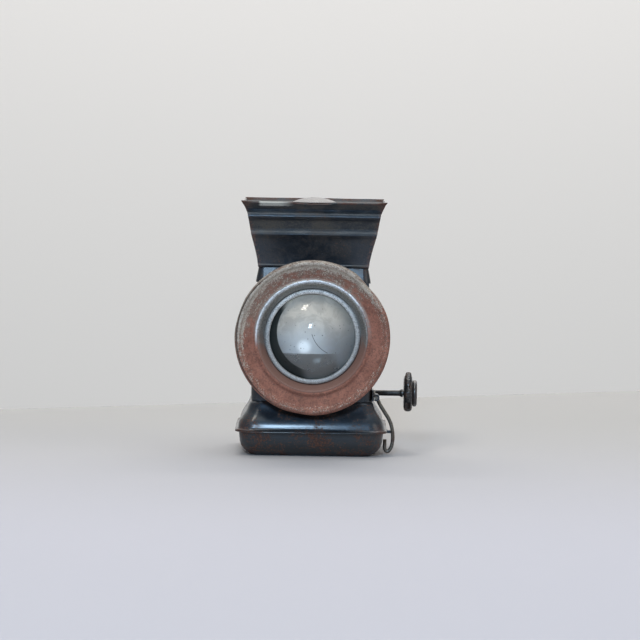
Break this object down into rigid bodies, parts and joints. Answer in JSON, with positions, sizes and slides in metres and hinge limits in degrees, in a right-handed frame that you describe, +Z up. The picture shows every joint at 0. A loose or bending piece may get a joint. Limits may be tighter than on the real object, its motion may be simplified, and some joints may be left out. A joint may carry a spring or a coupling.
{
  "type": "small square-bodied oil lamp with a bull's-eye front",
  "caption": "Small black japanned oil lamp with a flared hood, a wide rusted bell round a bull's-eye lens, a lift-off body on a domed font, a wick winder and a wire clip.",
  "frame": {"origin": "centre of the flat underside of the font, on the surface the lamp stands on", "axes": "+Z up, -Y the way the bell and lens face, +X the side with the winder knob and the wire clip"},
  "size_m": [0.1039, 0.0897, 0.1454],
  "materials": {
    "japan": "worn black japan with a blue sheen",
    "japan_rusty": "black japan, rusty at the edges",
    "bell_metal": "nickel plate gone to brown rust, specks of plate left",
    "nickel": "dull nickel plate",
    "inner_plate": "dull bright tin",
    "clear_glass": "clear, slightly grey-green",
    "ruby_glass": "ruby",
    "green_glass": "green",
    "brass": "dull brass",
    "spring_wire": "grey-brown steel wire",
    "knob_metal": "blackened, copper-brown on the edges",
    "cotton": "woven cotton",
    "felt": "oily wadding"
  },
  "bodies": {
    "font": {"font_upper": "japan_rusty", "font_lower": "japan_rusty", "font_rim": "japan_rusty", "font_lug": "japan_rusty", "felt_pad": "felt", "burner_base": "brass", "wick_tube": "brass", "tube_sleeve": "brass"},
    "case": {"case_shell": "japan", "front_plate": "japan", "base_skirt": "japan_rusty", "case_shoulder": "japan", "hood_front": "japan", "hood_back": "japan", "hood_left": "japan", "hood_right": "japan", "hood_lid": "japan_rusty", "vent_cap": "nickel", "vent_cap_legs": "nickel", "smoke_baffle": "japan", "reflector": "inner_plate", "reflector_stays": "inner_plate", "jewel_left": "ruby_glass", "jewel_right": "green_glass", "jewel_rim_left": "nickel", "jewel_rim_right": "nickel", "rear_bracket": "japan", "bracket_spring": "spring_wire", "bracket_rivets": "nickel", "door_hinge_knuckles": "japan", "hinge_pin": "nickel", "catch_spring": "japan", "catch_rivets": "nickel", "clip_bearing": "japan", "clip_rivets": "nickel"},
    "door": {"bezel_dish": "bell_metal", "door_frame": "bell_metal", "lens": "clear_glass", "lens_ring": "nickel", "lens_packing": "felt", "door_hinge_leaf": "japan", "door_tongue": "japan"},
    "winder": {"winder_stem": "knob_metal", "feed_wheels": "brass", "winder_knob": "knob_metal", "knob_boss": "knob_metal"},
    "wick": {"wick": "cotton"},
    "clip": {"clip_wire": "spring_wire"}
  },
  "joints": [
    {"name": "body_lift", "type": "slide", "parent": "font", "child": "case", "axis": [0, 0, 1], "range_m": [0, 0.045]},
    {"name": "front_hinge", "type": "hinge", "parent": "case", "child": "door", "pos_m": [-0.0346, -0.032, 0.068], "axis": [0, 0, -1], "range_deg": [0, 105]},
    {"name": "winder_turn", "type": "hinge", "parent": "font", "child": "winder", "pos_m": [0.03, -0.0036, 0.034], "axis": [1, 0, 0], "range_deg": [-115, 115]},
    {"name": "wick_rise", "type": "slide", "parent": "font", "child": "wick", "axis": [0, 0, 1], "range_m": [-0.006, 0.006]},
    {"name": "clip_swing", "type": "hinge", "parent": "case", "child": "clip", "pos_m": [0.0366, -0.017, 0.033], "axis": [0, -1, 0], "range_deg": [0, 110]}
  ],
  "couplings": [
    {"joint": "wick_rise", "follows": "winder_turn", "m_per_rad": 0.0024},
    {"joint": "clip_swing", "follows": "body_lift", "rad_per_m": 42.6}
  ]
}
